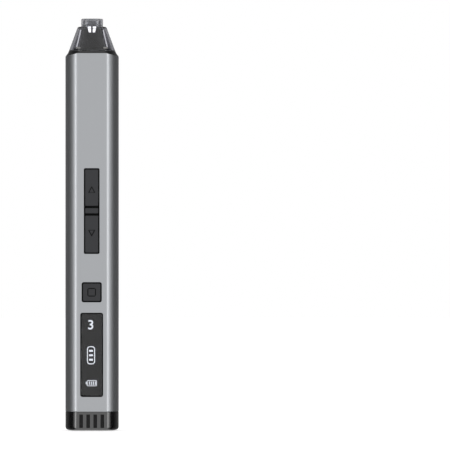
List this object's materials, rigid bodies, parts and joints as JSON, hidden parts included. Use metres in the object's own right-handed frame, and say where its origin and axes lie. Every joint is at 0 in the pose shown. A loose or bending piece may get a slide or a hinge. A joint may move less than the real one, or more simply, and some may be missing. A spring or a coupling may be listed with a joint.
{
  "type": "electric torque screwdriver",
  "caption": "Pen shaped rechargeable screwdriver with a magnetic hexagonal bit socket, rocker buttons, a display window and a planetary gearbox.",
  "frame": {"origin": "centre of the charging port mouth in the tail face, on the tool axis; the tool stands on its tail", "axes": "+Z along the tool axis from the tail to the bit socket, -Y out of the front flat with the buttons and the display"},
  "size_m": [0.018, 0.0167, 0.1389],
  "materials": {
    "anodised_aluminium": "fine bead blasted and clear anodised, satin grey",
    "black_abs": "black moulded plastic with a faint grain",
    "button_plastic": "dark grey moulded plastic, soft satin",
    "smoked_polycarbonate": "smoked translucent plastic, polished",
    "display_glass": "tinted flat lens",
    "display_module": "dark display panel",
    "circuit_board": "green solder mask",
    "lamp_resin": "pale phosphor under clear resin",
    "chip_epoxy": "black moulding compound",
    "zinc_steel": "zinc plated",
    "battery_can": "metal can in a blue shrink wrap",
    "foam": "closed cell foam",
    "nickel_strip": "nickel plated sheet",
    "lead_insulation": "red silicone insulation",
    "motor_nylon": "natural moulded nylon",
    "brass_blade": "stamped brass",
    "ferrite": "sintered dark magnet",
    "magnet_nickel": "nickel plated magnet",
    "gear_steel": "sintered and oiled steel",
    "core_steel": "stacked laminations",
    "copper_wire": "enamelled copper",
    "spindle_steel": "turned and ground steel",
    "sintered_bronze": "oil filled sintered bronze",
    "flex_polyimide": "amber polyimide film",
    "gearbox_alloy": "machined alloy"
  },
  "bodies": {
    "housing": {"barrel": "anodised_aluminium", "tail_cap": "black_abs", "nose_collar": "black_abs", "nose_cone": "smoked_polycarbonate", "spindle_shroud": "smoked_polycarbonate", "light_board": "circuit_board", "work_lights": "lamp_resin", "display_window": "display_glass", "display_panel": "display_module", "button_divider": "button_plastic", "tact_switches": "chip_epoxy", "main_board": "circuit_board", "board_components": "chip_epoxy", "board_screws": "zinc_steel", "battery_cell": "battery_can", "battery_tabs": "nickel_strip", "battery_pads": "foam", "chassis": "black_abs", "charging_port": "nickel_strip", "port_tongue": "chip_epoxy", "charge_board": "circuit_board", "charge_flex": "flex_polyimide", "motor_leads": "lead_insulation", "motor_can": "nickel_strip", "motor_end_cap": "motor_nylon", "motor_terminals": "brass_blade", "motor_magnets": "ferrite", "motor_plate": "nickel_strip", "ring_gear": "gear_steel", "gearbox_cap": "gearbox_alloy", "spindle_bush": "sintered_bronze"},
    "output_spindle": {"spindle": "spindle_steel", "bit_magnet": "magnet_nickel"},
    "motor_rotor": {"armature": "core_steel", "rotor_windings": "copper_wire", "motor_shaft": "spindle_steel", "motor_pinion": "gear_steel"},
    "first_carrier": {"carrier_1": "gear_steel"},
    "second_carrier": {"carrier_2": "gear_steel"},
    "up_key": {"up_button": "button_plastic", "up_plunger": "chip_epoxy"},
    "down_key": {"down_button": "button_plastic", "down_plunger": "chip_epoxy"},
    "function_key": {"function_button": "button_plastic", "function_plunger": "chip_epoxy"},
    "planet_gear_1a": {"planet_1_a": "gear_steel"},
    "planet_gear_1b": {"planet_1_b": "gear_steel"},
    "planet_gear_1c": {"planet_1_c": "gear_steel"},
    "planet_gear_2a": {"planet_2_a": "gear_steel"},
    "planet_gear_2b": {"planet_2_b": "gear_steel"},
    "planet_gear_2c": {"planet_2_c": "gear_steel"},
    "planet_gear_3a": {"planet_3_a": "gear_steel"},
    "planet_gear_3b": {"planet_3_b": "gear_steel"},
    "planet_gear_3c": {"planet_3_c": "gear_steel"}
  },
  "joints": [
    {"name": "spindle_spin", "type": "hinge", "parent": "housing", "child": "output_spindle", "pos_m": [0, 0, 0.13], "axis": [0, 0, 1], "continuous": true},
    {"name": "second_carrier_spin", "type": "hinge", "parent": "housing", "child": "second_carrier", "pos_m": [0, 0, 0.1168], "axis": [0, 0, 1], "continuous": true},
    {"name": "first_carrier_spin", "type": "hinge", "parent": "housing", "child": "first_carrier", "pos_m": [0, 0, 0.1125], "axis": [0, 0, 1], "continuous": true},
    {"name": "motor_spin", "type": "hinge", "parent": "housing", "child": "motor_rotor", "pos_m": [0, 0, 0.1], "axis": [0, 0, 1], "continuous": true},
    {"name": "planet_1a_spin", "type": "hinge", "parent": "first_carrier", "child": "planet_gear_1a", "pos_m": [0, 0.0036, 0.1102], "axis": [0, 0, 1], "continuous": true},
    {"name": "planet_1b_spin", "type": "hinge", "parent": "first_carrier", "child": "planet_gear_1b", "pos_m": [-0.00312, -0.0018, 0.1102], "axis": [0, 0, 1], "continuous": true},
    {"name": "planet_1c_spin", "type": "hinge", "parent": "first_carrier", "child": "planet_gear_1c", "pos_m": [0.00312, -0.0018, 0.1102], "axis": [0, 0, 1], "continuous": true},
    {"name": "planet_2a_spin", "type": "hinge", "parent": "second_carrier", "child": "planet_gear_2a", "pos_m": [0, 0.0036, 0.1145], "axis": [0, 0, 1], "continuous": true},
    {"name": "planet_2b_spin", "type": "hinge", "parent": "second_carrier", "child": "planet_gear_2b", "pos_m": [-0.00312, -0.0018, 0.1145], "axis": [0, 0, 1], "continuous": true},
    {"name": "planet_2c_spin", "type": "hinge", "parent": "second_carrier", "child": "planet_gear_2c", "pos_m": [0.00312, -0.0018, 0.1145], "axis": [0, 0, 1], "continuous": true},
    {"name": "planet_3a_spin", "type": "hinge", "parent": "output_spindle", "child": "planet_gear_3a", "pos_m": [0, 0.0036, 0.1188], "axis": [0, 0, 1], "continuous": true},
    {"name": "planet_3b_spin", "type": "hinge", "parent": "output_spindle", "child": "planet_gear_3b", "pos_m": [-0.00312, -0.0018, 0.1188], "axis": [0, 0, 1], "continuous": true},
    {"name": "planet_3c_spin", "type": "hinge", "parent": "output_spindle", "child": "planet_gear_3c", "pos_m": [0.00312, -0.0018, 0.1188], "axis": [0, 0, 1], "continuous": true},
    {"name": "up_press", "type": "slide", "parent": "housing", "child": "up_key", "axis": [0, 1, 0], "range_m": [0, 0.0003], "stiffness_N_per_m": 3000, "springref_m": -0.00005},
    {"name": "down_press", "type": "slide", "parent": "housing", "child": "down_key", "axis": [0, 1, 0], "range_m": [0, 0.0003], "stiffness_N_per_m": 3000, "springref_m": -0.00005},
    {"name": "function_press", "type": "slide", "parent": "housing", "child": "function_key", "axis": [0, 1, 0], "range_m": [0, 0.0003], "stiffness_N_per_m": 3000, "springref_m": -0.00005}
  ],
  "couplings": [
    {"joint": "second_carrier_spin", "follows": "spindle_spin", "ratio": 4},
    {"joint": "first_carrier_spin", "follows": "spindle_spin", "ratio": 16},
    {"joint": "motor_spin", "follows": "spindle_spin", "ratio": 64},
    {"joint": "planet_1a_spin", "follows": "spindle_spin", "ratio": -48},
    {"joint": "planet_1b_spin", "follows": "spindle_spin", "ratio": -48},
    {"joint": "planet_1c_spin", "follows": "spindle_spin", "ratio": -48},
    {"joint": "planet_2a_spin", "follows": "spindle_spin", "ratio": -12},
    {"joint": "planet_2b_spin", "follows": "spindle_spin", "ratio": -12},
    {"joint": "planet_2c_spin", "follows": "spindle_spin", "ratio": -12},
    {"joint": "planet_3a_spin", "follows": "spindle_spin", "ratio": -3},
    {"joint": "planet_3b_spin", "follows": "spindle_spin", "ratio": -3},
    {"joint": "planet_3c_spin", "follows": "spindle_spin", "ratio": -3}
  ]
}
